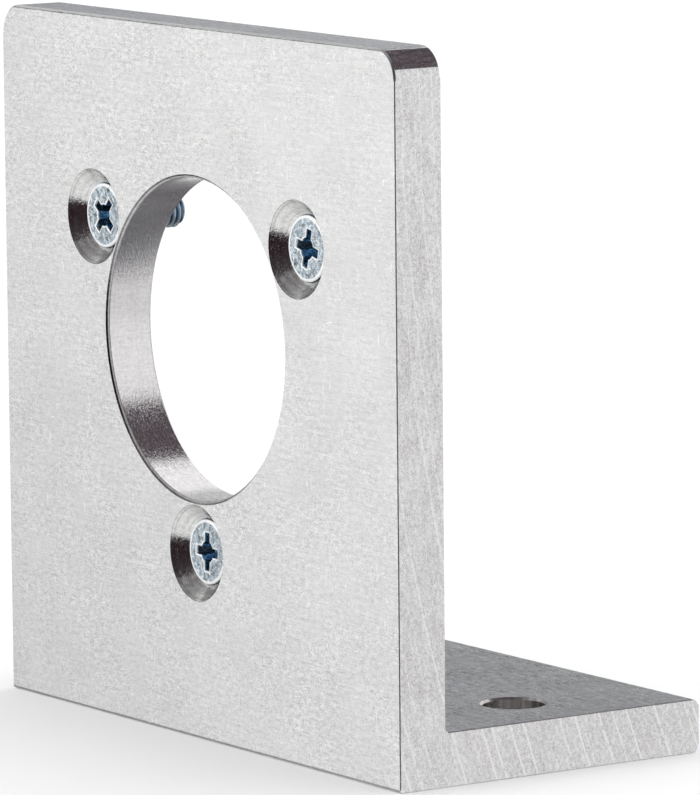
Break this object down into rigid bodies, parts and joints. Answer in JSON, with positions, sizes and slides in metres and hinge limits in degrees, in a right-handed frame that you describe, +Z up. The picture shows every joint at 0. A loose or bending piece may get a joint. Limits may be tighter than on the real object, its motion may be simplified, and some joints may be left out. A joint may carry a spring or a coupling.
{
  "type": "sensor mounting bracket",
  "caption": "L-shaped aluminium mounting bracket with a centring bore, countersunk screws around it and drilled base holes, for a round face-mounted sensor.",
  "frame": {"origin": "under the middle of the bracket, at the height of its base", "axes": "+Z up the plate, +X along its width, +Y from the plate's front face to the free edge of the flange"},
  "size_m": [0.08, 0.04, 0.08],
  "materials": {
    "raw_aluminium": "mill finish with fine sawn and milled surfaces",
    "zinc_plated_steel": "bright zinc plate with a faint blue tint"
  },
  "bodies": {
    "root": {"angle_bracket": "raw_aluminium", "countersunk_screws": "zinc_plated_steel"}
  },
  "joints": []
}
